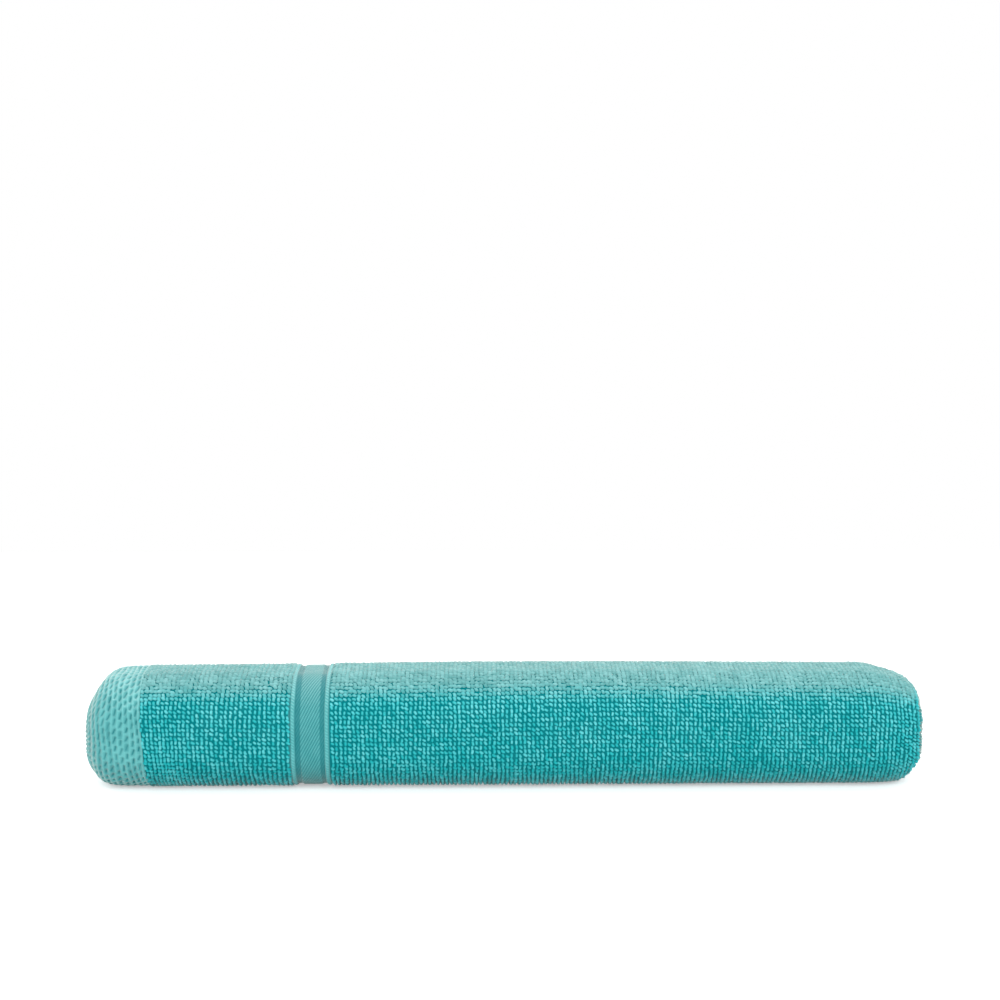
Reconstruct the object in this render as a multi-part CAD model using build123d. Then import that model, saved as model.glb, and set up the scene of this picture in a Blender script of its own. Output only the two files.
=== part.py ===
from build123d import *
import os
from dataclasses import dataclass
from math import cos, pi, sin

# A bath towel, folded once across its length so that its two end hems lie together, then rolled up across
# its width. X runs along the roll: the end hems are at -X and the turned fold is at +X. Y runs from the
# front of the roll (-Y) to its back (+Y), where the free edge of the cloth lies. The roll rests on Z = 0.
# Every solid is a stretch of one spiral strip of cloth. All sizes are in millimetres.

# The flat towel
towel_width = 700.0          # across the cloth, the direction in which it is rolled
roll_length = 700.0          # half of the 1400 mm towel, from the end hems to the turned fold

# The roll's section: a straight run and a quarter turn, over and over, each a little larger than the last
layer_pitch = 5.5            # one layer of terry and the air beside it
air_gap = 0.5                # between one layer and the next
core_radius = 9.5            # the first quarter turn, measured on the strip's middle line
core_run = 10.0              # the first straight run
run_growth = 3.0             # how much longer the straight runs are one whole turn further out

# The weave zones along the roll, from the end hems on
end_hem_width = 44.0
end_terry_width = 127.0
border_cord_width = 4.5
border_band_width = 25.0
turned_fold_width = 46.0
fold_nose_width = 12.0       # the rounded ridge at the very end of the turned fold
side_hem_width = 10.0        # the long sides' narrow hems

# Thickness of each zone
terry_thickness = layer_pitch - air_gap
end_hem_thickness = 2.6
border_band_thickness = 3.0
border_cord_thickness = 4.2
side_hem_thickness = 3.0
fold_nose_thickness = 5.6    # both layers together, at the ridge's crest

# Sewing
stitch_width = 0.9
stitch_height = 0.4
end_stitch_inset = 5.0       # from the end hem's inner edge to its row of stitches
side_stitch_inset = 2.0      # from the side hem's inner edge to its row of stitches

# The roll draws in towards both of its ends: gently up to a shoulder, and then more steeply. The hems draw
# in further, because their flat weave is thinner than the terry.
hem_shoulder_inset = 14.0    # from the hems' folded edges to their shoulder
hem_shoulder_scale = 0.92
hem_end_scale = 0.70
fold_shoulder_scale = 0.89   # where the fold's nose begins
fold_end_scale = 0.82
draw_in_share = 0.33         # height of the point that the ends draw in to, as a share of the roll's height

strip_pitch = 2 * layer_pitch
fold_thickness = 2 * terry_thickness + air_gap
radius_growth = strip_pitch - run_growth / 2


@dataclass
class Step:
    """One straight run or quarter turn of the strip's middle line, in the plane of the roll's section."""
    y: float
    z: float
    heading: float           # direction of travel in radians, zero towards +Y
    length: float
    radius: float = 0.0      # zero for a straight run

    def point(self, along, offset=0.0):
        """The point that far along the step and that far outwards, away from the roll's core."""
        turned = along / self.radius if self.radius else 0.0
        straight = 0.0 if self.radius else along
        out_y, out_z = -sin(self.heading), cos(self.heading)
        centre_y = self.y - self.radius * out_y + straight * cos(self.heading)
        centre_z = self.z - self.radius * out_z + straight * sin(self.heading)
        reach = self.radius + offset
        return centre_y - reach * sin(self.heading - turned), centre_z + reach * cos(self.heading - turned)


def roll_path():
    """The strip's middle line, from the core out to the free edge of the cloth."""
    steps, left, quarter = [], towel_width, 0
    place = (0.0, 0.0)
    while left > 1e-6:
        heading = -quarter * pi / 2
        run = core_run + quarter * run_growth / 4
        steps.append(Step(*place, heading, min(run, left)))
        left -= steps[-1].length
        place = steps[-1].point(steps[-1].length)
        if left > 1e-6:
            radius = core_radius + quarter * radius_growth / 4
            steps.append(Step(*place, heading, min(radius * pi / 2, left), radius))
            left -= steps[-1].length
            place = steps[-1].point(steps[-1].length)
        quarter += 1
    return steps


path = roll_path()
outline = [step.point(0, fold_thickness / 2) for step in path]
lowest = min(z for y, z in outline)
roll_height = max(z for y, z in outline) - lowest
front_edge = min(y for y, z in outline)
back_edge = max(y for y, z in outline)
middle_y = (front_edge + back_edge) / 2
draw_in_height = draw_in_share * roll_height


def in_roll_frame(point, x, scale):
    """A section point placed in the part's frame, drawn in by the scale towards the roll's heart."""
    y, z = point[0] - middle_y, point[1] - lowest
    return Vector(x, y * scale, draw_in_height + (z - draw_in_height) * scale)


def offset_edges(first, last, offset, x, scale):
    """The strip's edge from one distance along the cloth to another, at one offset from the middle line."""
    edges, begun = [], 0.0
    for step in path:
        low, high = max(first - begun, 0.0), min(last - begun, step.length)
        if high - low > 1e-6:
            stops = (low, (low + high) / 2, high)
            ends = [in_roll_frame(step.point(at, offset), x, scale) for at in stops]
            edges.append(ThreePointArc(*ends) if step.radius else Line(ends[0], ends[2]))
        begun += step.length
    return edges


def section(first, last, low, high, x, scale=1.0):
    """The face of a strip of cloth, cut square across the roll at x."""
    outside = offset_edges(first, last, high, x, scale)
    inside = offset_edges(first, last, low, x, scale)
    caps = [Line(outside[0] @ 0, inside[0] @ 0), Line(outside[-1] @ 1, inside[-1] @ 1)]
    return make_face(Wire([*outside, *inside, *caps]).edges())


def strip(first, last, low, high, x_start, x_end):
    """A straight stretch of the rolled strip."""
    return extrude(section(first, last, low, high, x_start), amount=x_end - x_start, dir=(1, 0, 0))


def layer_offsets(half, thickness):
    """The low and high offsets of one half of the towel: the outer half is +1 and the inner half is -1."""
    middle = half * layer_pitch / 2
    return middle - thickness / 2, middle + thickness / 2


def stitch_offsets(half, cloth_thickness):
    """Stitches stand on the face that looks out of the roll on the outer half, and into it on the inner."""
    face = half * (layer_pitch + cloth_thickness) / 2
    return (face, face + stitch_height) if half > 0 else (face - stitch_height, face)


# Where each zone ends along the roll
hem_end = -roll_length / 2
hem_shoulder = hem_end + hem_shoulder_inset
hem_inner_edge = hem_end + end_hem_width
border_start = hem_inner_edge + end_terry_width
band_start = border_start + border_cord_width
band_end = band_start + border_band_width
border_end = band_end + border_cord_width
fold_end = roll_length / 2
fold_start = fold_end - turned_fold_width
nose_start = fold_end - fold_nose_width
side_hem_edges = {"core": (0.0, side_hem_width), "edge": (towel_width - side_hem_width, towel_width)}
terry_from, terry_to = side_hem_width, towel_width - side_hem_width


def hem_scale(x):
    """How far the end hems have drawn in at x."""
    if x >= hem_shoulder:
        return 1 - (1 - hem_shoulder_scale) * (hem_inner_edge - x) / (hem_inner_edge - hem_shoulder)
    return hem_shoulder_scale - (hem_shoulder_scale - hem_end_scale) * (hem_shoulder - x) / hem_shoulder_inset


def end_hem(half):
    offsets = layer_offsets(half, end_hem_thickness)
    stations = (hem_inner_edge, hem_shoulder, hem_end)
    faces = [section(0, towel_width, *offsets, x, hem_scale(x)) for x in stations]
    return loft(faces, ruled=True)


def end_stitching(half):
    """The end hem's row of stitches, in a ring that follows the drawn-in hem."""
    offsets = stitch_offsets(half, end_hem_thickness)
    row = hem_inner_edge - end_stitch_inset
    faces = [section(0, towel_width, *offsets, x, hem_scale(x)) for x in (row, row - stitch_width)]
    return loft(faces, ruled=True)


def zone(half, thickness, x_start, x_end):
    return strip(terry_from, terry_to, *layer_offsets(half, thickness), x_start, x_end)


def side_hem(half, place):
    first, last = side_hem_edges[place]
    return strip(first, last, *layer_offsets(half, side_hem_thickness), hem_inner_edge, fold_start)


def side_stitching(half, place):
    first, last = side_hem_edges[place]
    middle = last - side_stitch_inset if place == "core" else first + side_stitch_inset
    low, high = stitch_offsets(half, side_hem_thickness)
    return strip(middle - stitch_width / 2, middle + stitch_width / 2, low, high, hem_inner_edge, fold_start)


def turned_fold():
    """Both halves of the cloth run together and turn into each other, in one rounded ridge."""
    half_thick, half_nose = fold_thickness / 2, fold_nose_thickness / 2
    stations = (
        (fold_start, half_thick, 1.0),
        (nose_start, half_thick, fold_shoulder_scale),
        (fold_end, half_nose, fold_end_scale),
    )
    faces = [section(0, towel_width, -half, half, x, scale) for x, half, scale in stations]
    return loft(faces, ruled=True)


def build():
    parts = {"turned_fold": turned_fold()}
    for half, word in ((1, "outer"), (-1, "inner")):
        parts[f"end_hem_{word}"] = end_hem(half)
        parts[f"end_hem_stitching_{word}"] = end_stitching(half)
        parts[f"end_terry_{word}"] = zone(half, terry_thickness, hem_inner_edge, border_start)
        parts[f"border_cord_left_{word}"] = zone(half, border_cord_thickness, border_start, band_start)
        parts[f"border_band_{word}"] = zone(half, border_band_thickness, band_start, band_end)
        parts[f"border_cord_right_{word}"] = zone(half, border_cord_thickness, band_end, border_end)
        parts[f"body_terry_{word}"] = zone(half, terry_thickness, border_end, fold_start)
        for place in side_hem_edges:
            parts[f"side_hem_{place}_{word}"] = side_hem(half, place)
            parts[f"side_stitching_{place}_{word}"] = side_stitching(half, place)
    return parts


os.makedirs("parts", exist_ok=True)
parts = build()
for name, solid in parts.items():
    export_step(solid, f"parts/{name}.step")

print("roll", roll_length, "long", round(back_edge - front_edge, 2), "deep", round(roll_height, 2), "high")
print("free edge at", [round(c, 1) for c in in_roll_frame(path[-1].point(path[-1].length), 0, 1)])
print("steps", len(path), "last", path[-1])
print("nodes", len(parts))
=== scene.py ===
# %% [markdown]
# # A rolled bath towel
# This lesson makes one cotton terry bath towel, folded once across its length and rolled up across its
# width. The design is a rigid frame of spiral solids. Here each zone of the cloth gets its real face:
# uncut loops on the terry, ribs and slits on the end hem, twill and cords on the border, and thread.
# The frame is loaded first, so that every piece can take its place from it. Lengths are in metres.

# %% Load the frame
import math

import bpy
import numpy as np
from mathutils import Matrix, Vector


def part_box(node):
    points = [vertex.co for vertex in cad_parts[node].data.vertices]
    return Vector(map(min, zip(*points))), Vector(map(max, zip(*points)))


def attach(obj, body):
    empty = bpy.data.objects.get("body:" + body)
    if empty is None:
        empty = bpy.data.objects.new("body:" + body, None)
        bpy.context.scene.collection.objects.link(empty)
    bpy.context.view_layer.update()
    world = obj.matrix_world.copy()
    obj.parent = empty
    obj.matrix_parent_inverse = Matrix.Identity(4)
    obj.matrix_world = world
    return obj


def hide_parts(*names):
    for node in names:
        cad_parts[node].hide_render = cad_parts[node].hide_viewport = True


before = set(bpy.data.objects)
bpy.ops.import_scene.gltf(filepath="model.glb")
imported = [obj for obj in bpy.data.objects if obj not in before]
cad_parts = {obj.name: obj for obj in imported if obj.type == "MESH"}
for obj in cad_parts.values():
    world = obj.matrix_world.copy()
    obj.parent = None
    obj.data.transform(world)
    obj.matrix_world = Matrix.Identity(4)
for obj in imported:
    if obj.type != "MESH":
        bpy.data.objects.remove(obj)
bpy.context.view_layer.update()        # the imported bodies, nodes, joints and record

mm = 0.001

# %% [markdown]
# ## Where the zones of the cloth begin and end
# A towel is woven in zones along its length. On the roll they are bands that follow each other along X,
# from the end hems to the turned fold. Each band's ends are read from the frame, so that a change to the
# design moves the looks with it. Only what a box can't tell, such as the pitch of the layers, is a value.

# %% Zones and sizes
hem_end, hem_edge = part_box("end_hem_outer")[0][0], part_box("end_hem_outer")[1][0]
cord_start, band_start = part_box("border_cord_left_outer")[0][0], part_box("border_cord_left_outer")[1][0]
band_end, border_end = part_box("border_cord_right_outer")[0][0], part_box("border_cord_right_outer")[1][0]
fold_start, fold_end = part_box("turned_fold")[0][0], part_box("turned_fold")[1][0]
roll_length = fold_end - hem_end
towel_width = 0.700
layer_pitch = 5.5 * mm
air_gap = 0.5 * mm
core_radius, core_run, run_growth = 9.5 * mm, 10.0 * mm, 3.0 * mm
side_hem_width = 10 * mm
fold_nose = 12 * mm
strip_pitch = 2 * layer_pitch
strip_face = layer_pitch - air_gap / 2
zone_edges = (hem_end, hem_edge, cord_start, band_start, band_end, border_end, fold_start, fold_end)
print("zones begin and end at", [round(x / mm, 1) for x in zone_edges])

# %% [markdown]
# ## The path that the cloth takes
# Seen from its end, the rolled strip is a spiral with rounded corners: a straight run, then a quarter
# turn, each a little larger than the last. Working it out by formula, and not by drawing a curve, gives
# one function that places any point of the cloth. Everything on the towel, down to each loop, uses it.

# %% The spiral
def roll_steps():
    """Each run and quarter turn: its start along the strip, place, heading and radius, 0 if straight."""
    steps, begun, quarter, y, z = [], 0.0, 0, 0.0, 0.0
    while begun < towel_width:
        heading = -quarter * math.pi / 2
        radius = core_radius + quarter * (strip_pitch - run_growth / 2) / 4
        run = core_run + quarter * run_growth / 4
        steps.append((begun, y, z, heading, 0.0))
        y, z = y + run * math.cos(heading), z + run * math.sin(heading)
        steps.append((begun + run, y, z, heading, radius))
        y += radius * (math.cos(heading) + math.sin(heading))
        z += radius * (math.sin(heading) - math.cos(heading))
        begun += run + radius * math.pi / 2
        quarter += 1
    return np.array([step for step in steps if step[0] < towel_width])


steps = roll_steps()


def spiral(s, offset):
    """The section point at a distance s along the strip, and offset outwards from its middle line."""
    step = np.clip(np.searchsorted(steps[:, 0], s, "right") - 1, 0, None)
    begun, y, z, heading, radius = np.moveaxis(steps[step], -1, 0)
    turned = np.where(radius > 0, (s - begun) / np.where(radius > 0, radius, 1.0), 0.0)
    straight = np.where(radius > 0, 0.0, s - begun)
    y = y + radius * np.sin(heading) + straight * np.cos(heading)
    z = z - radius * np.cos(heading) + straight * np.sin(heading)
    return y - (radius + offset) * np.sin(heading - turned), z + (radius + offset) * np.cos(heading - turned)


outline_y, outline_z = spiral(steps[:, 0] + 1e-9, strip_face)
middle_y = (outline_y.min() + outline_y.max()) / 2
lowest = outline_z.min()
roll_depth, roll_height = np.ptp(outline_y), outline_z.max() - lowest
print("the spiral is", round(roll_depth / mm, 2), "mm deep and", round(roll_height / mm, 2), "mm high")

# %% [markdown]
# ## The roll is soft
# A rolled towel isn't a straight bar. It draws in towards both ends, because nothing holds the cloth up
# there. It swells and sinks a little along its length, its inner turns slide out by a few millimetres at
# the ends, and the line where hem meets terry is bowed. These are slow changes to the whole roll, so they
# are made in the function that places every point, and the layers keep their order.

# %% From flat cloth to rolled cloth
draw_in_height = 0.33 * roll_height
hem_draw = {"over": 0.44, "under": 0.54}           # the share of its size that each end loses
fold_draw = {"over": 0.23, "under": 0.70}
hem_roundness = {"over": 4.8, "under": 7.0}        # the higher, the later and steeper it draws in
fold_roundness = {"over": 1.6, "under": 6.5}
swell_depth, swell_middle = 0.012, 0.03            # shares of the roll's size
short_swell, long_swell = 62 * mm, 113 * mm
slide, slide_waves, step_out = 1.5 * mm, 9, 3.0 * mm
still_cloth, slide_fade = 300 * mm, 80 * mm        # the outermost cloth keeps its place
hem_bow, hem_bow_low, bow_reach = 3.5 * mm, 5.5 * mm, 28 * mm


def ease(t):
    """A smooth step from 0 to 1."""
    t = np.clip(t, 0.0, 1.0)
    return t * t * (3 - 2 * t)


def kept_size(x, side):
    """The share of its full size that the roll keeps at x, over or under the height it draws in to."""
    to_hem = np.clip((hem_edge - x) / (hem_edge - hem_end), 0.0, 1.05)
    to_fold = np.clip((x - fold_start) / (fold_end - fold_start), 0.0, 1.05)
    lost_at_hem = hem_draw[side] * to_hem ** hem_roundness[side]
    lost_at_fold = fold_draw[side] * to_fold ** fold_roundness[side]
    return 1 - lost_at_hem - lost_at_fold


def on_roll(x, s, offset):
    """The place of a point of the cloth: x along the roll, s along the strip, offset out of its middle."""
    x, s, offset = np.broadcast_arrays(x, s, offset)
    y, z = spiral(s, offset)
    y, z = y - middle_y, z - lowest
    around = np.arctan2(z - draw_in_height, y)
    sway = 0.6 * np.sin(x / short_swell + 1.3) * np.cos(around + 0.4)
    twist = 0.4 * np.sin(x / long_swell + 2 * around)
    sunk = swell_depth / 2 * (1 + sway + twist)
    full = swell_middle * np.cos(np.pi * np.clip(x / roll_length, -0.5, 0.5)) ** 2
    over, under = kept_size(x, "over") - sunk + full, kept_size(x, "under") - sunk
    to_end = ease((hem_edge - x) / (hem_edge - hem_end)) - ease((x - fold_start) / (fold_end - fold_start))
    wander = slide * (0.5 + 0.5 * np.cos(s / towel_width * slide_waves + 0.8))
    inward = wander - step_out * (1 - 0.5 * s / towel_width)
    free_to_slide = ease((towel_width - still_cloth - s) / slide_fade)
    bow = (hem_bow + hem_bow_low * (1 - z / roll_height)) * np.exp(-(((x - hem_edge) / bow_reach) ** 2))
    return np.stack([
        x + inward * to_end * free_to_slide + bow,
        y * over,
        draw_in_height + (z - draw_in_height) * np.where(z > draw_in_height, over, under),
    ], axis=-1)


def outer_turn_start(face):
    """Where the outermost turn begins, at the angle of the free edge, on the strip."""
    along = np.linspace(0.2, towel_width - 0.15, 2000)
    y, z = spiral(along, face)
    end_y, end_z = spiral(np.array([towel_width]), face)
    near = np.hypot(y - end_y, z - end_z)
    return along[near.argmin()]


last_turn = outer_turn_start(strip_face)
print("the outermost turn begins", round(last_turn / mm), "mm along the strip")

# %% [markdown]
# ## A helper for cloth
# Every zone is a closed, thin block: an outer face, an inner face and a rim all round. A grid of points
# is laid out on the flat cloth, each face gets its own offset, and the grid is rolled up. The flat place
# of each point is kept as a UV map named cloth, so that a weave can follow the thread and not the room.

# %% Blocks of cloth
def in_scene(name, data):
    """A new object in the scene, for a mesh, a lamp or a camera."""
    thing = bpy.data.objects.new(name, data)
    bpy.context.collection.objects.link(thing)
    return thing


def add_mesh(name, points, quads, flat, material):
    """A new smooth object at the origin, with its place in its mesh, and its flat place as a UV map."""
    mesh = bpy.data.meshes.new(name)
    mesh.from_pydata(points.tolist(), [], quads.tolist())
    corners = np.empty(len(mesh.loops), dtype=np.int32)
    mesh.loops.foreach_get("vertex_index", corners)
    mesh.uv_layers.new(name="cloth").data.foreach_set("uv", flat[corners].ravel())
    mesh.polygons.foreach_set("use_smooth", [True] * len(mesh.polygons))
    mesh.materials.append(material)
    return in_scene(name, mesh)


def grid_quads(rows, columns, first=0, flip=False):
    """The faces of a grid of points stored row by row."""
    corner = first + (np.arange(rows - 1)[:, None] * columns + np.arange(columns - 1)[None, :]).ravel()
    quads = np.stack([corner, corner + 1, corner + columns + 1, corner + columns], axis=1)
    return quads[:, ::-1] if flip else quads


def block(name, outer_face, inner_face, flat, material, depth=None):
    """A closed block of cloth between two grids of points, with how deep each point lies in its weave."""
    rows, columns = outer_face.shape[:2]
    size = rows * columns
    at = np.arange(size).reshape(rows, columns)
    rim = np.concatenate([at[0, :], at[1:, -1], at[-1, -2::-1], at[-2:0:-1, 0]])
    following = np.roll(rim, -1)
    around = np.stack([rim, following, following + size, rim + size], axis=1)
    points = np.concatenate([outer_face.reshape(-1, 3), inner_face.reshape(-1, 3)])
    quads = np.concatenate([grid_quads(rows, columns, flip=True), grid_quads(rows, columns, size), around])
    piece = add_mesh(name, points, quads, np.tile(flat.reshape(-1, 2), (2, 1)), material)
    if depth is not None:
        marks = piece.data.attributes.new("depth", "FLOAT", "POINT")
        marks.data.foreach_set("value", np.tile(depth.ravel(), 2).astype(np.float32))
    return piece


def with_supports(places, inset=0.2 * mm):
    """The places, and one more near each end, so that the rims' shading doesn't spread over the faces."""
    return np.unique(np.concatenate([places, [places[0] + inset, places[-1] - inset]]))


def cloth_block(name, xs, ss, outer, inner, material, depth=None, move_x=None):
    """A zone's block. Each function takes flat places x and s: the faces' offsets, depth and a move in x."""
    x, s = np.meshgrid(with_supports(xs), with_supports(ss), indexing="ij")
    faces = [on_roll(x, s, offset(x, s) + 0 * x) for offset in (outer, inner)]
    if move_x:
        for face in faces:
            face[..., 0] += move_x(x, s)
    return block(name, *faces, np.stack([x, s], axis=-1), material, depth(x, s) if depth else None)


def distances(first, last, fine, coarse):
    """Places along the strip: fine where the cloth shows, on the outermost turn, and coarse inside."""
    shown = min(max(last_turn - 8 * mm, first), last)
    inside = np.linspace(first, shown, max(2, round((shown - first) / coarse) + 1))
    outside = np.linspace(shown, last, max(2, round((last - shown) / fine) + 1))
    return np.unique(np.concatenate([inside, outside]))


print("the strip's coarse and fine places number", len(distances(0, towel_width, 1.0 * mm, 4 * mm)))

# %% [markdown]
# ## Colour that isn't quite even
# Dyed cotton is never one flat colour: the dye takes a little more or less from place to place, and from
# yarn to yarn. All six finishes of this towel need that, so it is one node group. It reads Object
# coordinates, which stay with the cloth, and puts out a colour.

# %% Node helpers and the dye group
def fill(tree, node, inputs):
    """Link each of these inputs of a node, named or numbered, to a socket, or give it a value."""
    for key, value in inputs.items():
        free = [socket for socket in node.inputs if socket.enabled]
        socket = node.inputs[key] if isinstance(key, int) else next(s for s in free if s.name == key)
        if isinstance(value, bpy.types.NodeSocket):
            tree.links.new(value, socket)
        else:
            socket.default_value = value


def put(tree, kind, inputs=None, **settings):
    """Add a node with its settings and its inputs."""
    node = tree.nodes.new(kind)
    for key, value in settings.items():
        setattr(node, key, value)
    fill(tree, node, inputs or {})
    return node


def first_out(node):
    """The node's first output in use."""
    return next(socket for socket in node.outputs if socket.enabled)


def calc(tree, operation, *values, clamp=False):
    """A Math node's result."""
    node = put(tree, "ShaderNodeMath", dict(enumerate(values)), operation=operation, use_clamp=clamp)
    return first_out(node)


def blend(tree, share, low, high):
    """A colour between two others. On a Mix node set to colours, they are inputs 6 and 7 and output 2."""
    return put(tree, "ShaderNodeMix", {0: share, 6: low, 7: high}, data_type="RGBA").outputs[2]


def new_group(name, inputs, outputs):
    """An empty shader node group. Gives it, the sockets that come in and the sockets that go out."""
    group = bpy.data.node_groups.new(name, "ShaderNodeTree")
    for label, (kind, value) in inputs.items():
        group.interface.new_socket(label, in_out="INPUT", socket_type=kind).default_value = value
    for label, kind in outputs.items():
        group.interface.new_socket(label, in_out="OUTPUT", socket_type=kind)
    return group, group.nodes.new("NodeGroupInput").outputs, group.nodes.new("NodeGroupOutput").inputs


uneven_dye, given, result = new_group(
    "Uneven dye",
    {"Colour": ("NodeSocketColor", (0.5, 0.5, 0.5, 1)), "Unevenness": ("NodeSocketFloat", 0.1),
     "Patch size": ("NodeSocketFloat", 0.03), "Yarn tone": ("NodeSocketFloat", 0.5)},
    {"Colour": "NodeSocketColor"},
)
place = put(uneven_dye, "ShaderNodeTexCoord")
patches = put(uneven_dye, "ShaderNodeTexNoise", {
    "Vector": place.outputs["Object"], "Scale": calc(uneven_dye, "DIVIDE", 1.0, given["Patch size"]),
    "Detail": 3.0, "Roughness": 0.6})
mixed = calc(uneven_dye, "MULTIPLY_ADD", patches.outputs["Fac"], 0.6,
             calc(uneven_dye, "MULTIPLY", given["Yarn tone"], 0.4))
swing = calc(uneven_dye, "MULTIPLY", calc(uneven_dye, "SUBTRACT", mixed, 0.5), given["Unevenness"])
lightness = calc(uneven_dye, "MULTIPLY_ADD", swing, 2.0, 1.0)
dyed = put(uneven_dye, "ShaderNodeHueSaturation", {
    "Color": given["Colour"], "Value": lightness,
    "Saturation": calc(uneven_dye, "SUBTRACT", 1.5, calc(uneven_dye, "MULTIPLY", lightness, 0.5))})
uneven_dye.links.new(dyed.outputs["Color"], result["Colour"])
print("made the group", uneven_dye.name)

# %% [markdown]
# ## Yarn you can see the twist of
# Close to, the flat weaves are rows of twisted yarn. The ribs and slits are in the mesh, and this group
# adds only what is finer than them: yarns across the cloth, each with its slanting plies. It reads the
# cloth's own UV map, in metres, so that the yarns bend with the roll.

# %% The fine weave group
fine_weave, given, result = new_group(
    "Fine weave",
    {"Yarn pitch": ("NodeSocketFloat", 0.0008), "Ply pitch": ("NodeSocketFloat", 0.0006)},
    {"Height": "NodeSocketFloat"},
)
flat_place = put(fine_weave, "ShaderNodeUVMap", uv_map="cloth")
split = put(fine_weave, "ShaderNodeSeparateXYZ", {"Vector": flat_place.outputs["UV"]})


def wave(tree, distance, pitch):
    """A smooth wave from -1 to 1 that repeats at each pitch."""
    return calc(tree, "SINE", calc(tree, "MULTIPLY", calc(tree, "DIVIDE", distance, pitch), 2 * math.pi))


across = wave(fine_weave, split.outputs["X"], given["Yarn pitch"])
slanting = calc(fine_weave, "ADD", split.outputs["X"], split.outputs["Y"])
plies = wave(fine_weave, slanting, given["Ply pitch"])
height = calc(fine_weave, "MULTIPLY_ADD", plies, 0.35, calc(fine_weave, "MULTIPLY", across, 0.65))
fine_weave.links.new(height, result["Height"])
print("made the group", fine_weave.name)

# %% [markdown]
# ## The finishes
# Cotton is matt, and a halo of loose fibres makes it paler where it is seen edge on. The Principled
# shader's sheen is made for that halo, with its values set on the shader itself. The pile's loops are
# dark and full of colour at their feet, a painted shade where the light hardly reaches, and pale at
# their crests. The flat weaves are paler than the pile, because their yarns lie close and smooth.
#
# All of them are painted paler where the cloth faces up, a painted sheen on the roll's top. Low on the
# front the pile's crests and feet are painted closer in colour, as flatter painted light. The loops carry
# marks for both, and the flat weaves read which way they face.

# %% Materials
# Painted light in these colours: the pile's feet and ground are darkened as painted shade deep in the pile.
# The pile's and the flat weaves' top colours paint the roll's top paler, a painted sheen, and the pile's low
# colour paints flatter light low on its sides. The deep flat colour is painted shade in slits, grooves,
# twill lines and on the cords' sides, and a darker tone on some hem strands and on the side hems.
pile_crest, pile_foot_painted_shade, pile_ground_painted_shade = (0.06, 0.58, 0.62, 1), (0.002, 0.31, 0.33, 1), (0.001, 0.20, 0.22, 1)
pile_painted_top_sheen, pile_painted_low_light = (0.14, 0.40, 0.40, 1), (0.006, 0.44, 0.47, 1)
hem_pale, flat_pale, flat_painted_shade_and_tone = (0.13, 0.465, 0.465, 1), (0.12, 0.48, 0.485, 1), (0.002, 0.18, 0.20, 1)
flat_painted_top_sheen = (0.24, 0.56, 0.555, 1)
halo_tint = (1.0, 1.0, 0.93, 1)
fibre_grain = 0.9 * mm
crest_sharpness, painted_low_light_share = 1.4, 0.6


def cotton(name, roughness, lustre, halo_spread, fibre=0.1 * mm):
    """A matt cotton with a halo of fibres. Gives the material, its tree, its shader and its bump."""
    material = bpy.data.materials.new(name)
    material.use_nodes = True
    tree = material.node_tree
    shader = tree.nodes["Principled BSDF"]
    place = put(tree, "ShaderNodeTexCoord")
    fuzz = put(tree, "ShaderNodeTexNoise", {
        "Vector": place.outputs["Object"], "Scale": 1 / fibre_grain, "Detail": 2.0})
    bump = put(tree, "ShaderNodeBump", {"Height": fuzz.outputs["Fac"], "Distance": fibre, "Strength": 0.6})
    fill(tree, shader, {
        "Roughness": roughness, "Specular IOR Level": lustre, "Normal": bump.outputs["Normal"],
        "Sheen Weight": 1.0, "Sheen Roughness": halo_spread, "Sheen Tint": halo_tint})
    return material, tree, shader, bump


def dye(tree, shader, colour, unevenness, patch, tone=0.5):
    """Send a colour through the dye group to the shader."""
    group = put(tree, "ShaderNodeGroup", {
        "Colour": colour, "Unevenness": unevenness, "Patch size": patch, "Yarn tone": tone},
        node_tree=uneven_dye)
    tree.links.new(group.outputs["Colour"], shader.inputs["Base Color"])


def mark(tree, name):
    """A value from 0 to 1 that a mesh carries on its points."""
    return put(tree, "ShaderNodeAttribute", attribute_name=name).outputs["Fac"]


def pile_loops_finish():
    """Looped pile: painted shade at the feet, painted light on top and low down, each loop its own tone."""
    material, tree, shader, _ = cotton(
        "Terry loops", roughness=0.5, lustre=0.25, halo_spread=0.33, fibre=0.2 * mm)
    # Painted shade: the loops' colour darkens from the crests down to the feet, where the light hardly
    # reaches.
    crest = calc(tree, "POWER", mark(tree, "crest"), crest_sharpness, clamp=True)
    upright = blend(tree, crest, pile_foot_painted_shade, pile_crest)
    # Painted light: low on the sides the colour moves to a flatter one, and on the roll's top to a paler
    # one, a painted sheen.
    painted_low_light = calc(tree, "MULTIPLY", mark(tree, "painted_low_light"), painted_low_light_share)
    with_painted_low_light = blend(tree, painted_low_light, upright, pile_painted_low_light)
    colour = blend(tree, mark(tree, "brushed_and_painted_sheen"), with_painted_low_light, pile_painted_top_sheen)
    dye(tree, shader, colour, unevenness=0.35, patch=20 * mm, tone=mark(tree, "loop_tone"))
    return material


def pile_ground_finish():
    """The ground weave that the loops stand on, its colour painted dark as the shade deep in the pile."""
    material, tree, shader, _ = cotton("Terry ground", roughness=0.9, lustre=0.1, halo_spread=0.3)
    dye(tree, shader, pile_ground_painted_shade, unevenness=0.15, patch=20 * mm)
    return material


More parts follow.
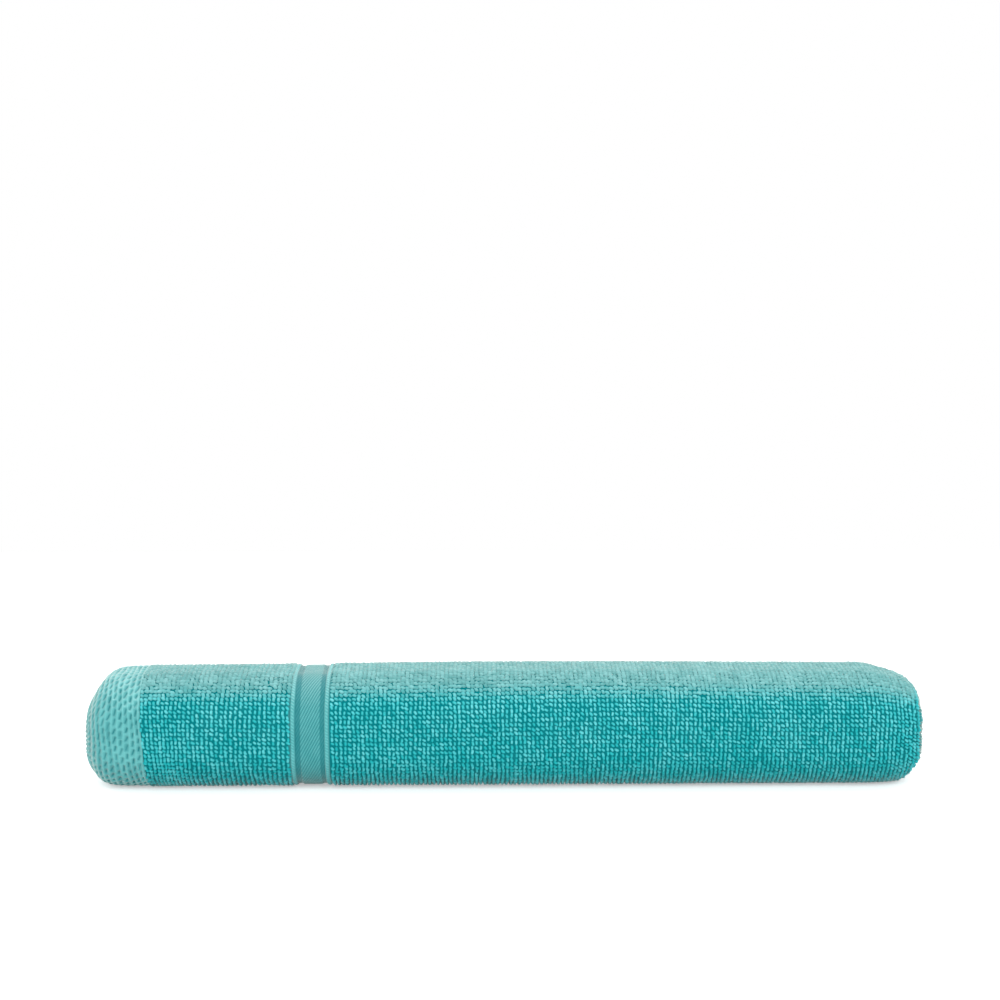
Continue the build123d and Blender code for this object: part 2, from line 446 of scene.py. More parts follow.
def flat_weave_finish(name, pale, yarn_pitch, ply_pitch, roughness=0.5, lustre=0.25):
    """A flat weave: pale ribs, painted shade in its slits and grooves, which the depth attribute marks."""
    material, tree, shader, bump = cotton(name, roughness, lustre, halo_spread=0.33)
    # Painted sheen: where the cloth faces up, its ribs are painted paler.
    faces = put(tree, "ShaderNodeNewGeometry").outputs["Normal"]
    upward = put(tree, "ShaderNodeSeparateXYZ", {"Vector": faces}).outputs["Z"]
    painted_top_share = calc(tree, "MULTIPLY_ADD", upward, 2.0, -0.8, clamp=True)
    ribs = blend(tree, painted_top_share, pale, flat_painted_top_sheen)
    dye(tree, shader, blend(tree, mark(tree, "depth"), ribs, flat_painted_shade_and_tone), unevenness=0.2, patch=12 * mm)
    weave = put(tree, "ShaderNodeGroup", {"Yarn pitch": yarn_pitch, "Ply pitch": ply_pitch},
                node_tree=fine_weave)
    yarns = put(tree, "ShaderNodeBump", {
        "Height": weave.outputs["Height"], "Distance": 0.08 * mm, "Strength": 0.7,
        "Normal": bump.outputs["Normal"]})
    tree.links.new(yarns.outputs["Normal"], shader.inputs["Normal"])
    return material


terry_loops = pile_loops_finish()
terry_ground = pile_ground_finish()
hem_weave = flat_weave_finish("Hem weave", hem_pale, 0.9 * mm, 0.7 * mm, roughness=0.55)
twill_weave = flat_weave_finish("Border twill", flat_pale, 0.8 * mm, 0.6 * mm)
border_cord = flat_weave_finish("Border cord", flat_pale, 1.2 * mm, 0.8 * mm)
thread = flat_weave_finish("Sewing thread", flat_pale, 0.6 * mm, 0.4 * mm, lustre=0.5)
print("finishes", [m.name for m in (terry_loops, terry_ground, hem_weave, twill_weave, border_cord, thread)])

# %% [markdown]
# ## The terry's ground
# Under its loops, terry is a plain woven sheet. In a roll it is all but hidden, so a smooth block will do:
# it closes the view between the loops, and its dark colour paints the shade at their feet. Its outer face
# lies lower than the pile's crests by the height of a loop.

# %% Terry fields and their ground
halves = {"outer": layer_pitch / 2, "inner": -layer_pitch / 2}
pile_height = 1.7 * mm
terry_half = (layer_pitch - air_gap) / 2
ground_face = strip_face - pile_height
side_from, side_to = side_hem_width, towel_width - side_hem_width


def terry_block(name, half, x_from, x_to):
    """The ground of one terry field in one half of the towel."""
    outer = ground_face if half == "outer" else halves[half] + terry_half
    inner = halves[half] - terry_half
    xs = np.linspace(x_from, x_to, round((x_to - x_from) / (9 * mm)) + 1)
    places = distances(side_from, side_to, 4 * mm, 4 * mm)
    return cloth_block(name, xs, places, lambda x, s: outer, lambda x, s: inner, terry_ground)


pieces = {}
for half in halves:
    pieces[f"end_terry_{half}"] = terry_block(f"end_terry_ground_{half}", half, hem_edge, cord_start)
    pieces[f"body_terry_{half}"] = terry_block(f"body_terry_ground_{half}", half, border_end, fold_start)
print("terry grounds:", [len(p.data.polygons) for p in pieces.values()], "faces")

# %% [markdown]
# ## The turned fold
# In the middle of its length the towel turns back on itself. Rolled up, that turn is a soft ridge that
# winds round the whole end of the roll. It is made as a real fold: a U of cloth, with a narrow gap inside
# and a half ellipse for its nose, and the U is carried along the spiral.

# %% The fold's profile and block
nose_start = fold_end - fold_nose
nose_reach = fold_nose - pile_height
nose_angle = np.linspace(0, math.pi, 400)
nose_steps = np.hypot(np.diff(nose_reach * np.sin(nose_angle)), np.diff(ground_face * np.cos(nose_angle)))
nose_along = np.concatenate([[0], np.cumsum(nose_steps)])


def fold_profile(p):
    """The ground's outer face at a distance p in x: flat up to the nose, and then round it and back."""
    p = np.asarray(p, dtype=float)
    angle = np.interp(p - nose_start, nose_along, nose_angle)
    back = np.maximum(p - nose_start - nose_along[-1], 0.0)
    x = np.minimum(p, nose_start) + nose_reach * np.sin(angle) - back
    out_x, out_offset = np.sin(angle) / nose_reach, np.cos(angle) / ground_face
    size = np.hypot(out_x, out_offset)
    return x, ground_face * np.cos(angle), out_x / size, out_offset / size


half_gap = 0.3 * mm
shoulder = nose_start - fold_start
u_places = fold_start + np.concatenate([
    np.linspace(0, shoulder, 6)[:-1],
    shoulder + np.linspace(0, nose_along[-1], 17),
    shoulder + nose_along[-1] + np.linspace(0, shoulder, 6)[1:],
])
u_x, u_offset = fold_profile(u_places)[:2]
inside_x = np.minimum(u_x, nose_start + nose_reach / 2)
inside_offset = np.clip(u_offset, -half_gap, half_gap)
fold_s = distances(0, towel_width, 3 * mm, 3 * mm)
pieces["turned_fold"] = block(
    "turned_fold_cloth",
    on_roll(u_x[:, None], fold_s[None, :], u_offset[:, None]),
    on_roll(inside_x[:, None], fold_s[None, :], inside_offset[:, None]),
    np.stack(np.meshgrid(u_places, fold_s, indexing="ij"), axis=-1),
    terry_ground,
)
print("the fold's nose is", round(nose_along[-1] / mm, 1), "mm round")

# %% [markdown]
# ## The end hems
# A towel's end is woven flat, without loops, turned under and sewn down. The flat weave shows as ribs
# round the roll with rows of short slits between them, staggered from row to row. The ribs and slits are
# real dents in the mesh, worked out from the place on the flat cloth. The hem's folded edge is rounded,
# and the turned yarns push it out in a row of small bumps.

# %% Hem weave and blocks
rib_pitch, slit_pitch = 4.1 * mm, 6.8 * mm
slit_width, slit_depth, rib_crown, grain_crown = 0.85 * mm, 1.1 * mm, 0.25 * mm, 0.6 * mm
hem_thickness = 2.6 * mm
hem_edge_radius = 1.5 * mm
bump_pitch, bump_height = 6.3 * mm, 1.8 * mm
bump_reach, bump_fade = 1.5 * mm, 5 * mm


def chance(column, number, which):
    """A fixed value from 0 to 1 for each slit, as good as random. which picks one of several."""
    mixed = np.sin(column * 12.9898 + number * 78.233 + which * 37.719) * 43758.5453
    return mixed - np.floor(mixed)


def hem_place(x, s):
    """A point's slit (its column and number), and how far across it and along it the point lies."""
    column = (x - hem_end) / rib_pitch + 0.12 * np.sin(s / (8 * mm) + x / (5 * mm))
    nearest = np.round(column)
    along = s / slit_pitch + 0.5 * (nearest % 2) + 0.3 * chance(nearest, 0, 0) + 0.15 * np.sin(s / (13 * mm))
    number = np.floor(along)
    return nearest, number, (column - nearest) * rib_pitch, along - number - 0.5


def hem_slits(x, s):
    """1 in the middle of a slit, 0 on the ribs. No two slits slant, reach or gape alike."""
    column, number, across, phase = hem_place(x, s)
    slant = (1.0 + 2.2 * chance(column, number, 1)) * mm
    half_length = 0.34 + 0.16 * chance(column, number, 2)
    gape = 0.7 + 0.3 * chance(column, number, 3)
    line = np.exp(-(((across - slant * phase) / slit_width) ** 2))
    return gape * line * ease((half_length - np.abs(phase)) / 0.14) * (column > 0)


def hem_relief(x, s):
    """How far the weave stands out of the hem's face: ribs, with a grain between each two slits."""
    _, _, across, phase = hem_place(x, s)
    crown = 0.5 - 0.5 * np.cos(across / rib_pitch * 2 * math.pi)
    grain = np.cos(across / rib_pitch * math.pi) * (0.5 + 0.5 * np.cos(2 * math.pi * phase))
    return rib_crown * crown + grain_crown * (1 - grain) - slit_depth * hem_slits(x, s)


def hem_depth(x, s):
    """The hem's painted shade: deep in the slits, and a darker tone on some strands than on others."""
    column, number, across, _ = hem_place(x, s)
    strand = 0.6 * chance(column, number, 4) * np.cos(across / rib_pitch * math.pi)
    return np.maximum(hem_slits(x, s), strand)


def rounded(distance, radius):
    """A turned edge's half thickness, as a share of the full one, at a distance in from the edge."""
    return np.sqrt(np.clip(1 - (1 - np.clip(distance / radius, 0, 1)) ** 2, 0.02, 1))


def edge_bumps(x, s):
    """The turned yarns push the folded edge out, and it draws in between them."""
    between = (0.5 - 0.5 * np.cos(2 * math.pi * s / bump_pitch)) ** 1.5
    return (bump_height * between - bump_reach) * (1 - ease((x - hem_end) / bump_fade))


def end_hem_block(name, middle):
    """One end hem, with its weave on both faces."""
    across = np.linspace(0, hem_edge - hem_end, round((hem_edge - hem_end) / (0.5 * mm)) + 1)
    across = np.unique(np.concatenate([across, np.array([0.1, 0.25]) * mm]))
    face = lambda x, s: hem_thickness / 2 * rounded(x - hem_end, hem_edge_radius) + hem_relief(x, s)
    return cloth_block(
        name, hem_end + across, distances(0, towel_width, 1.0 * mm, 2.4 * mm),
        lambda x, s: middle + face(x, s), lambda x, s: middle - face(x, s),
        hem_weave, depth=hem_depth, move_x=edge_bumps,
    )


for half, middle in halves.items():
    pieces[f"end_hem_{half}"] = end_hem_block(f"end_hem_cloth_{half}", middle)
print("end hems:", len(pieces["end_hem_outer"].data.polygons), "faces each")

# %% [markdown]
# ## The border
# Near the towel's end runs a band of twill, with a cord along each side. Twill shows as fine slanting
# lines. The band lies lower than the pile, and a groove parts it from its cords, so it catches the light
# in another way and reads as a stripe of its own, although the yarn is the same.

# %% Border band and cords
band_width = band_end - band_start
band_half_thickness = 1.5 * mm
left_groove, right_groove, groove_slope = 5.9 * mm, 4.1 * mm, 1.2 * mm
groove_depth, twill_depth = 0.9 * mm, 0.9 * mm
groove_shade = 0.75
twill_pitch, twill_slant = 2.35 * mm, 0.55
cord_half_width, left_cord_shift = 1.8 * mm, 1.25 * mm
cord_base, cord_height, cord_underside = 0.8 * mm, 1.0 * mm, 2.1 * mm
twist_height, twist_pitch, twist_slant = 0.35 * mm, 2.4 * mm, 4 * mm


def band_groove(x, s):
    """1 in the grooves beside the cords, 0 on the twill."""
    left = ease((left_groove - (x - band_start)) / groove_slope)
    right = ease((right_groove - (band_end - x)) / groove_slope)
    return np.maximum(left, right)


def twill_line(x, s):
    """1 between the twill's slanting lines, 0 on them."""
    phase = (x - twill_slant * s) / twill_pitch * 2 * math.pi
    return (0.5 + 0.5 * np.cos(phase)) ** 0.9


def band_relief(x, s):
    """How far the twill stands out of the band."""
    groove = band_groove(x, s)
    return -groove_depth * groove - twill_depth * twill_line(x, s) * (1 - 0.5 * groove)


def band_shade(x, s):
    """The band's painted shade: darker between its lines, and darker still in its grooves."""
    line = twill_line(x, s)
    return line + groove_shade * band_groove(x, s) * (1 - line)


def border_band_block(name, middle):
    """The twill band in one half of the towel."""
    xs = np.linspace(band_start, band_end, round(band_width / (0.5 * mm)) + 1)
    face = lambda x, s: band_half_thickness + band_relief(x, s)
    return cloth_block(
        name, xs, distances(side_from, side_to, 1.1 * mm, 5 * mm),
        lambda x, s: middle + face(x, s), lambda x, s: middle - band_half_thickness,
        twill_weave, depth=band_shade,
    )


def cord_block(name, middle, x_from, x_to, shift=0.0):
    """A cord beside the band: a round ridge, with the slanting marks of its twist."""
    centre = (x_from + x_to) / 2 + shift

    def round_top(x):
        return np.sqrt(np.clip(1 - ((x - centre) / cord_half_width) ** 2, 0, 1))

    def twist(x, s):
        return np.cos((s / twist_pitch + (x - centre) / twist_slant) * 2 * math.pi)

    def ridge(x, s):
        return cord_base + round_top(x) * (cord_height + twist_height * twist(x, s))

    # Painted shade on the cord's sides and in the hollows of its twist.
    def shade(x, s):
        return np.maximum(0.8 - 0.8 * round_top(x), 0.225 - 0.225 * twist(x, s))

    ridge_places = centre - cord_half_width * np.cos(np.linspace(0, math.pi, 11))
    xs = np.unique(np.concatenate([[x_from], ridge_places, [x_to + shift]]))
    return cloth_block(
        name, xs, distances(side_from, side_to, 0.7 * mm, 5 * mm),
        lambda x, s: middle + ridge(x, s), lambda x, s: middle - cord_underside, border_cord, depth=shade,
    )


for half, middle in halves.items():
    pieces[f"border_band_{half}"] = border_band_block(f"border_band_cloth_{half}", middle)
    pieces[f"border_cord_left_{half}"] = cord_block(
        f"border_cord_left_{half}_cloth", middle, cord_start, band_start, left_cord_shift)
    pieces[f"border_cord_right_{half}"] = cord_block(
        f"border_cord_right_{half}_cloth", middle, band_end, border_end)
print("the band has", round(band_width / twill_pitch, 1), "twill lines across it")

# %% [markdown]
# ## The side hems
# Along its two long sides a towel has a narrow hem, turned twice and sewn. One side is at the core of
# the roll, and the other is the free edge that lies down the back. Both are plain flat cloth with one
# rounded edge.

# %% Side hem blocks
side_hem_half_thickness, side_edge_radius = 1.5 * mm, 1.6 * mm
side_rib_height, side_rib_pitch = 0.12 * mm, 1.6 * mm


def side_hem_block(name, middle, s_from, s_to, edge):
    """One side hem. edge is the distance along the strip of its turned edge."""
    inward = np.abs(np.linspace(s_from, s_to, 13) - edge)
    places = np.unique(np.concatenate([inward, np.array([0.15, 0.4, 0.9]) * mm]))
    ss = np.sort(edge + places * (1 if edge == s_from else -1))
    xs = np.linspace(hem_edge, fold_start, 140)
    ribs = lambda x, s: side_rib_height * np.cos((s - edge) / side_rib_pitch * 2 * math.pi)
    face = lambda x, s: side_hem_half_thickness * rounded(np.abs(s - edge), side_edge_radius) + ribs(x, s)
    return cloth_block(name, xs, ss, lambda x, s: middle + face(x, s), lambda x, s: middle - face(x, s),
                       hem_weave, depth=lambda x, s: 0.25 + 0 * x)


for half, middle in halves.items():
    pieces[f"side_hem_core_{half}"] = side_hem_block(
        f"side_hem_core_{half}_cloth", middle, 0.0, side_from, 0.0)
    pieces[f"side_hem_edge_{half}"] = side_hem_block(
        f"side_hem_edge_{half}_cloth", middle, side_to, towel_width, towel_width)
print("side hems:", len(pieces["side_hem_edge_outer"].data.polygons), "faces each")

# %% [markdown]
# ## Seats for threads
# A loop or a stitch needs three things: a place on the cloth, the way out of the cloth, and the way round
# the roll. Together they are a seat. The seats are the points of a mesh, with the two directions as
# attributes, and Geometry Nodes set a thread on each of them. Two marks paint light into the pile's
# colour: one paints the roll's top paler, a painted sheen, and also sets the loops wider there, and the
# other paints flatter light low on its sides.

# %% Seats on the cloth
def unit(vectors):
    """Vectors of length 1."""
    return vectors / np.linalg.norm(vectors, axis=-1, keepdims=True)


def cloth_seats(x, s, offset, out_x=0.0, out_offset=1.0):
    """Seats at flat places x and s, at an offset. out_x and out_offset point out of the cloth's face."""
    together = np.broadcast_arrays(x, s, offset, out_x, out_offset)
    x, s, offset, out_x, out_offset = (np.ravel(values) for values in together)
    nudge = 0.05 * mm
    place = on_roll(x, s, offset)
    out = unit(on_roll(x + out_x * nudge, s, offset + out_offset * nudge) - place)
    return place, out, unit(on_roll(x, s + nudge, offset) - place)


def seat_mesh(name, place, out, along):
    """The seats as an object of loose points."""
    mesh = bpy.data.meshes.new(name)
    mesh.from_pydata(place.tolist(), [], [])
    for label, vectors in (("out_of_cloth", out), ("along_thread", along)):
        mesh.attributes.new(label, "FLOAT_VECTOR", "POINT").data.foreach_set(
            "vector", vectors.astype(np.float32).ravel())
    upward = out[:, 2]
    # The first mark paints the top paler, a painted sheen, and widens the loops there. The second paints
    # flatter light low on the sides.
    marks = {"brushed_and_painted_sheen": ease((upward - 0.5) / 0.42), "painted_low_light": ease((0.25 - upward) / 0.8)}
    for label, values in marks.items():
        mesh.attributes.new(label, "FLOAT", "POINT").data.foreach_set("value", values.astype(np.float32))
    return in_scene(name, mesh)


_, out, _ = cloth_seats(0.0, last_turn, ground_face)
print("where the outermost turn begins, the way out of the cloth is", out[0].round(2).tolist())

# %% [markdown]
# ## One tree of nodes for every thread
# A loop of pile and a stitch are both a short thread that comes up out of the cloth, arches over and goes
# back down. One Geometry Nodes tree makes them all: a Bezier segment swept with a small circle, set on
# every seat, and then turned, tipped and scaled a little at random from a fixed seed. It also marks each
# thread's crest and gives it a tone of its own, for the material to read. The loops' normals lean
# towards the cloth's own, because a soft pile takes the light as one face and not as many hard tubes.

# %% The thread tree
thread_sizes = ("Thread length", "Arch height", "Thread radius", "Sink", "Skew", "Turn", "Tip",
                "Size change", "Brushed width")
threads = bpy.data.node_groups.new("Threads on cloth", "GeometryNodeTree")
threads.is_modifier = True
threads.interface.new_socket("Seats", in_out="INPUT", socket_type="NodeSocketGeometry")
for label in thread_sizes:
    threads.interface.new_socket(label, in_out="INPUT", socket_type="NodeSocketFloat")
threads.interface.new_socket("Seed", in_out="INPUT", socket_type="NodeSocketInt")
threads.interface.new_socket("Finish", in_out="INPUT", socket_type="NodeSocketMaterial")
threads.interface.new_socket("Threads", in_out="OUTPUT", socket_type="NodeSocketGeometry")
given = threads.nodes.new("NodeGroupInput").outputs
result = threads.nodes.new("NodeGroupOutput").inputs


def step(kind, inputs=None, **settings):
    """One more node of this tree. Gives its first output in use."""
    return first_out(put(threads, kind, inputs, **settings))


def point(x, y, z):
    """A vector from three values or sockets."""
    return step("ShaderNodeCombineXYZ", {"X": x, "Y": y, "Z": z})


def share(label, factor):
    """One of the tree's inputs, times a factor."""
    return calc(threads, "MULTIPLY", given[label], factor)


arch = step("GeometryNodeCurvePrimitiveBezierSegment", {
    "Resolution": 5,
    "Start": point(share("Thread length", -0.3), share("Skew", -1.0), share("Sink", -1.0)),
    "Start Handle": point(share("Thread length", -0.85), share("Skew", -1.0), share("Arch height", 4 / 3)),
    "End Handle": point(share("Thread length", 0.85), share("Skew", 1.0), share("Arch height", 4 / 3)),
    "End": point(share("Thread length", 0.3), share("Skew", 1.0), share("Sink", -1.0)),
})
ring = step("GeometryNodeCurvePrimitiveCircle", {"Resolution": 5, "Radius": given["Thread radius"]})
tube = step("GeometryNodeCurveToMesh", {"Curve": arch, "Profile Curve": ring, "Fill Caps": True})
place = put(threads, "ShaderNodeSeparateXYZ", {"Vector": step("GeometryNodeInputPosition")})
full_height = calc(threads, "ADD", given["Arch height"], given["Thread radius"])
crest = calc(threads, "DIVIDE", place.outputs["Z"], full_height, clamp=True)
marked = step("GeometryNodeStoreNamedAttribute", {"Geometry": tube, "Name": "crest", "Value": crest},
              data_type="FLOAT", domain="POINT")
smoothed = step("GeometryNodeSetShadeSmooth", {"Geometry": marked})


def seat_value(label, data_type):
    """One of the directions or marks that the seats carry."""
    return step("GeometryNodeInputNamedAttribute", {"Name": label}, data_type=data_type)


out, along = (seat_value(label, "FLOAT_VECTOR") for label in ("out_of_cloth", "along_thread"))
upright = step("FunctionNodeAlignRotationToVector", {"Vector": out}, axis="Z")
facing = step("FunctionNodeAlignRotationToVector", {"Rotation": upright, "Vector": along},
              axis="X", pivot_axis="Z")


def random(low, high, seed_step):
    """A random value for each seat, from the tree's seed."""
    seed = calc(threads, "ADD", given["Seed"], seed_step)
    return step("FunctionNodeRandomValue", {"Min": low, "Max": high, "Seed": seed}, data_type="FLOAT")


def either_way(label, seed_step):
    """A random value from minus one of the tree's inputs up to it."""
    return random(share(label, -1.0), given[label], seed_step)


larger = calc(threads, "ADD", 1.0, given["Size change"])
smaller = calc(threads, "SUBTRACT", 1.0, given["Size change"])
size = random(smaller, larger, 11.0)
widened = calc(threads, "MULTIPLY_ADD", seat_value("brushed_and_painted_sheen", "FLOAT"), given["Brushed width"], 1.0)
standing = step("GeometryNodeInstanceOnPoints", {
    "Points": given["Seats"], "Instance": smoothed, "Rotation": facing,
    "Scale": point(size, calc(threads, "MULTIPLY", size, widened), size)})
turned = step("FunctionNodeEulerToRotation", {
    "Euler": point(either_way("Tip", 1.0), either_way("Tip", 2.0), either_way("Turn", 3.0))})
tipped = step("GeometryNodeRotateInstances", {
    "Instances": standing, "Rotation": turned, "Local Space": True})
toned = step("GeometryNodeStoreNamedAttribute", {
    "Geometry": tipped, "Name": "loop_tone", "Value": random(0.0, 1.0, 4.0)},
    data_type="FLOAT", domain="INSTANCE")
real = step("GeometryNodeRealizeInstances", {"Geometry": toned})
finished = step("GeometryNodeSetMaterial", {"Geometry": real, "Material": given["Finish"]})
threads.links.new(finished, result["Threads"])
socket_names = {s.name: s.identifier for s in threads.interface.items_tree if s.in_out == "INPUT"}


def lean_normals(mesh, out, lean):
    """Turn the tubes' normals part of the way to the cloth's own."""
    normals = np.empty(len(mesh.vertices) * 3, dtype=np.float32)
    mesh.vertex_normals.foreach_get("vector", normals)
    of_cloth = np.repeat(out, len(mesh.vertices) // len(out), axis=0)
    leaning = unit((1 - lean) * normals.reshape(-1, 3) + lean * of_cloth)
    mesh.normals_split_custom_set_from_vertices(leaning.tolist())


def sew(name, seats, lean=0.0, **values):
    """Set a thread on every seat, and turn the result into a plain mesh. Nothing sinks into the floor."""
    seat_object = seat_mesh(name + "_seats", *seats)
    modifier = seat_object.modifiers.new("Threads", "NODES")
    modifier.node_group = threads
    for label, value in values.items():
        modifier[socket_names[label.replace("_", " ").capitalize()]] = value
    depsgraph = bpy.context.evaluated_depsgraph_get()
    mesh = bpy.data.meshes.new_from_object(
        seat_object.evaluated_get(depsgraph), preserve_all_data_layers=True, depsgraph=depsgraph)
    bpy.data.objects.remove(seat_object)
    mesh.name = name
    points = np.empty(len(mesh.vertices) * 3, dtype=np.float32)
    mesh.vertices.foreach_get("co", points)
    points[2::3] = np.maximum(points[2::3], 0.02 * mm)
    mesh.vertices.foreach_set("co", points)
    mesh.update()
    if lean:
        lean_normals(mesh, seats[1], lean)
    triangles = sum(len(face.vertices) - 2 for face in mesh.polygons)
    print(name, "has", len(seats[0]), "threads and", triangles, "triangles")
    return in_scene(name, mesh)


print("the thread tree has", len(threads.nodes), "nodes")

# %% [markdown]
# ## The pile
# Terry's loops stand in columns that run round the roll, one for each full beat of the loom. The columns
# are nearly straight and the loops in them nearly even, but each loop leans and turns its own way. The
# seats are laid out column by column, at one pitch measured along the face and not along the strip's
# middle, and only where they can be seen: on the outermost turn, and all along the fold's nose.

# %% Loops of pile
loop_pitch, end_loop_pitch, row_pitch = 3.62 * mm, 3.80 * mm, 3.67 * mm
column_wave, scatter_across, scatter_along = 0.45 * mm, 0.16 * mm, 0.30 * mm
nose_column_count = 7
rng = np.random.default_rng(70140)


def rows_between(s_from, s_to):
    """Places along the strip that lie a row apart on the ground's outer face."""
    s = np.linspace(s_from, s_to, 3000)
    y, z = spiral(s, ground_face)
    face = np.concatenate([[0], np.cumsum(np.hypot(np.diff(y), np.diff(z)))])
    return np.interp(np.arange(0.5 * row_pitch, face[-1], row_pitch), face, s)


def pile_seats(columns, rows, loose_columns=0):
    """Seats in columns and rows, each a little off its place. The first loose_columns straggle more."""
    p, s = np.meshgrid(columns, rows, indexing="ij")
    column_number = np.arange(len(columns))[:, None]
    slow_wave = np.sin(s / (19 * mm) + 0.15 * column_number)
    p = p + column_wave * slow_wave * np.sin(s / (7.3 * mm) + 0.3 * column_number)
    p = p + rng.normal(0, scatter_across, p.shape)
    s = s + rng.normal(0, scatter_along, s.shape) + 0.25 * row_pitch * np.sin(p / (60 * mm))
    p[:loose_columns] += rng.uniform(-0.6, 1.2, p[:loose_columns].shape) * mm
    x, offset, out_x, out_offset = fold_profile(p)
    return cloth_seats(x, np.clip(s, 0.001, towel_width - 0.001), offset, out_x, out_offset)


loop_shape = dict(thread_length=2.2 * mm, arch_height=1.1 * mm, thread_radius=1.05 * mm, sink=0.3 * mm,
                  skew=0.5 * mm, turn=0.65, tip=0.2, size_change=0.12, brushed_width=0.85,
                  finish=terry_loops, lean=0.7)
shown_rows = rows_between(last_turn - 6 * mm, side_to - 1 * mm)
end_column_count = round((cord_start - hem_edge) / end_loop_pitch)
end_columns = np.linspace(hem_edge + 1.2 * mm, cord_start - 0.2 * mm, end_column_count)
loops = [sew("end_terry_loops", pile_seats(end_columns, shown_rows, 1), seed=1, **loop_shape)]

body_columns = np.arange(border_end + 2.2 * mm, nose_start - 3 * mm, loop_pitch)
for number, columns in enumerate(np.array_split(body_columns, 4), start=1):
    seats = pile_seats(columns, shown_rows)
    loops.append(sew(f"body_terry_loops_{number}", seats, seed=1 + number, **loop_shape))

nose_columns = body_columns[-1] + loop_pitch * np.arange(1, nose_column_count + 1)
all_rows = rows_between(2 * mm, towel_width - 2 * mm)
nose_shape = {**loop_shape, "arch_height": 1.6 * mm, "tip": 0.25, "size_change": 0.15, "lean": 0.5}
loops.append(sew("turned_fold_loops", pile_seats(nose_columns, all_rows), seed=6, **nose_shape))

# %% [markdown]
# ## Sewing
# The hems are held by rows of lockstitch: short threads in line, each dipping into the cloth at its ends.
# The same tree sews them, with a longer, flatter thread and almost no turn or tip.

# %% Rows of stitches
stitch_pitch = 3.4 * mm
end_stitch_inset, side_stitch_inset = 5 * mm, 2 * mm
stitch_shape = dict(thread_length=3.4 * mm, arch_height=0.45 * mm, thread_radius=0.32 * mm, sink=0.35 * mm,
                    skew=0.0, turn=0.08, tip=0.03, size_change=0.04, finish=thread)
side_face, hem_face = side_hem_half_thickness, hem_thickness / 2 + rib_crown * 0.6
stitch_row_x = hem_edge - end_stitch_inset
for half, middle in halves.items():
    outward = 1 if half == "outer" else -1
    row = np.arange(3 * mm, towel_width - 3 * mm, stitch_pitch)
    seats = cloth_seats(stitch_row_x, row, middle + outward * hem_face, 0.0, outward)
    pieces[f"end_hem_stitching_{half}"] = sew(f"end_hem_stitches_{half}", seats, seed=20, **stitch_shape)
    for place, s in (("core", side_from - side_stitch_inset), ("edge", side_to + side_stitch_inset)):
        row = np.arange(hem_edge + 2 * mm, fold_start - 2 * mm, stitch_pitch)
        base, out, _ = cloth_seats(row, s, middle + outward * side_face, 0.0, outward)
        seats = base, out, np.tile([1.0, 0.0, 0.0], (len(row), 1))
        pieces[f"side_stitching_{place}_{half}"] = sew(
            f"side_stitches_{place}_{half}", seats, seed=30, **stitch_shape)

# %% [markdown]
# ## What each piece stands for
# Every zone rides on the roll's one body and takes the place of its solid in the frame. The loops ride on
# the same body as the terry that they grow from, and the stitches and cords on the same body as the cloth
# that they hold.

# %% Ride and replace
for node, piece in pieces.items():
    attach(piece, "root")
    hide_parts(node)
for piece in loops:
    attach(piece, "root")

print("declared", len(pieces), "zones and", len(loops), "pieces of pile")

# %% [markdown]
# ## Floor, light and camera
# The towel lies on a plain white sweep under soft white light. The sky gives most of it. One large lamp
# overhead and behind brightens the top, and a wider one in front and above lights the face. The floor
# glows a little to the camera, so that only the shadow where the towel touches it is left grey.

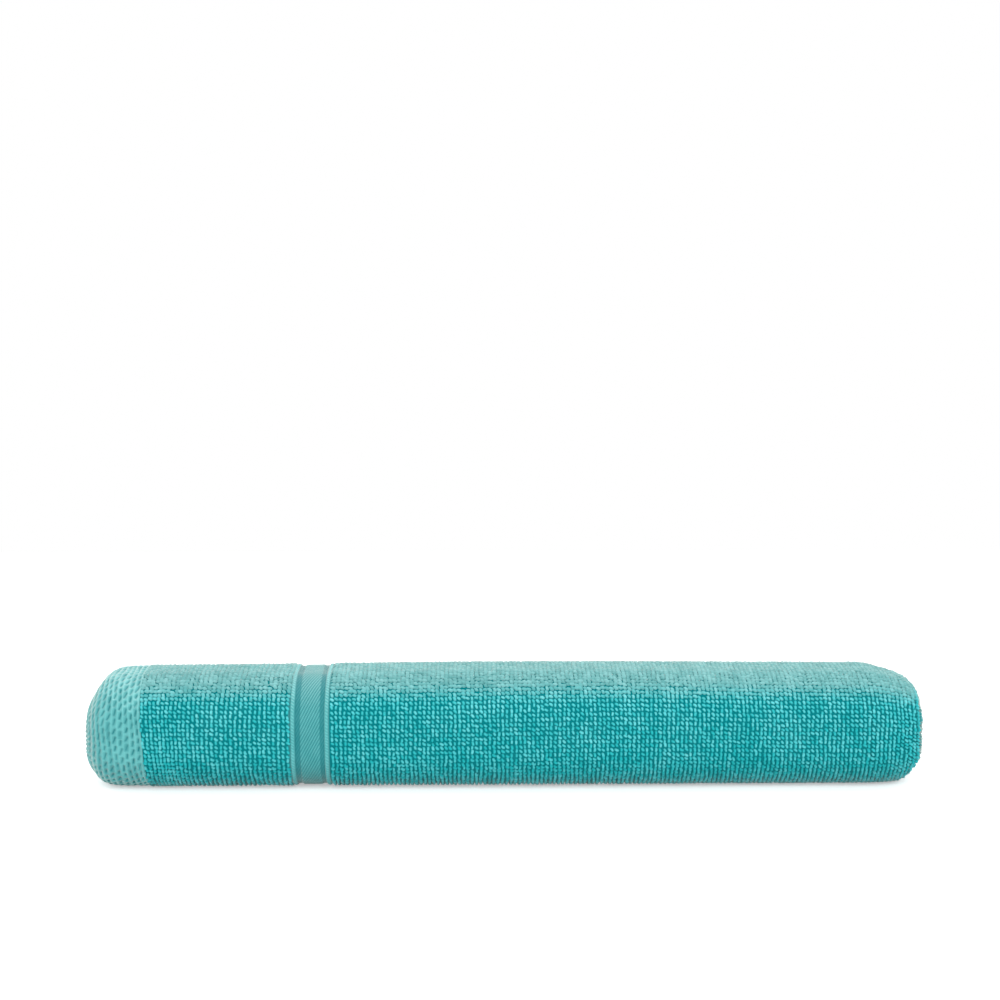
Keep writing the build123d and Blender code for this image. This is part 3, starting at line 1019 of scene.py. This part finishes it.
# %% Stage
floor_mesh = bpy.data.meshes.new("floor")
reach = 1.0
glow, shown_white, lighting_white = 0.45, (0.9, 0.9, 0.9, 1), (0.75, 0.75, 0.75, 1)
floor_mesh.from_pydata([(-reach, -reach, 0), (reach, -reach, 0), (reach, reach, 0), (-reach, reach, 0)],
                       [], [(0, 1, 2, 3)])
floor = in_scene("floor", floor_mesh)
white = bpy.data.materials.new("White sweep")
white.use_nodes = True
tree = white.node_tree
seen = put(tree, "ShaderNodeLightPath").outputs["Is Camera Ray"]
fill(tree, tree.nodes["Principled BSDF"], {
    "Base Color": blend(tree, seen, lighting_white, shown_white), "Roughness": 1.0,
    "Specular IOR Level": 0.0, "Emission Color": (1, 1, 1, 1),
    "Emission Strength": calc(tree, "MULTIPLY", seen, glow)})
floor_mesh.materials.append(white)

sky_light = 0.75
world = bpy.data.worlds.new("White sky")
world.use_nodes = True
tree = world.node_tree
seen = put(tree, "ShaderNodeLightPath").outputs["Is Camera Ray"]
fill(tree, tree.nodes["Background"], {
    "Color": (1, 1, 1, 1), "Strength": calc(tree, "MULTIPLY_ADD", seen, 1 - sky_light, sky_light)})
bpy.context.scene.world = world
bpy.context.scene.view_settings.view_transform = "Standard"


def soft_box(name, place, aim, width, depth, watts):
    """A rectangular lamp at a place, turned towards another."""
    lamp = bpy.data.lights.new(name, "AREA")
    lamp.shape = "RECTANGLE"
    lamp.size, lamp.size_y, lamp.energy = width, depth, watts
    holder = in_scene(name, lamp)
    holder.location = place
    direction = Vector(aim) - Vector(place)
    holder.rotation_euler = direction.to_track_quat("-Z", "Y").to_euler()


soft_box("overhead lamp", (0.0, 0.5, 1.2), (0.0, 0.0, 0.05), 1.8, 0.7, 9.0)
soft_box("front lamp", (0.0, -1.55, 1.1), (0.0, 0.0, 0.04), 2.4, 0.7, 24.0)
print("lamps", [lamp.name for lamp in bpy.data.lights])

# %% [markdown]
# ## The camera
# The camera stands a little over a metre off, rather low, and looks just below level, so that the towel
# lies in the lower part of the frame and its top is seen at a glancing angle.

# %% Camera
camera_lens = 60.0
camera_distance, camera_rise, camera_side = 1.4405, 17.0, -1.0
camera_dip, camera_turn = 9.4, 0.14
centre = Vector((0.0, 0.0, roll_height / 2))
rise, side = math.radians(camera_rise), math.radians(camera_side)
camera = in_scene("camera", bpy.data.cameras.new("camera"))
camera.data.lens = camera_lens
camera.data.sensor_width = 36.0
camera.location = centre + camera_distance * Vector((
    math.sin(side) * math.cos(rise), -math.cos(side) * math.cos(rise), math.sin(rise)))
camera.rotation_euler = (math.radians(90 - camera_dip), 0.0, side + math.radians(camera_turn))
bpy.context.scene.camera = camera
print("the camera stands at", [round(c, 3) for c in camera.location], "metres")
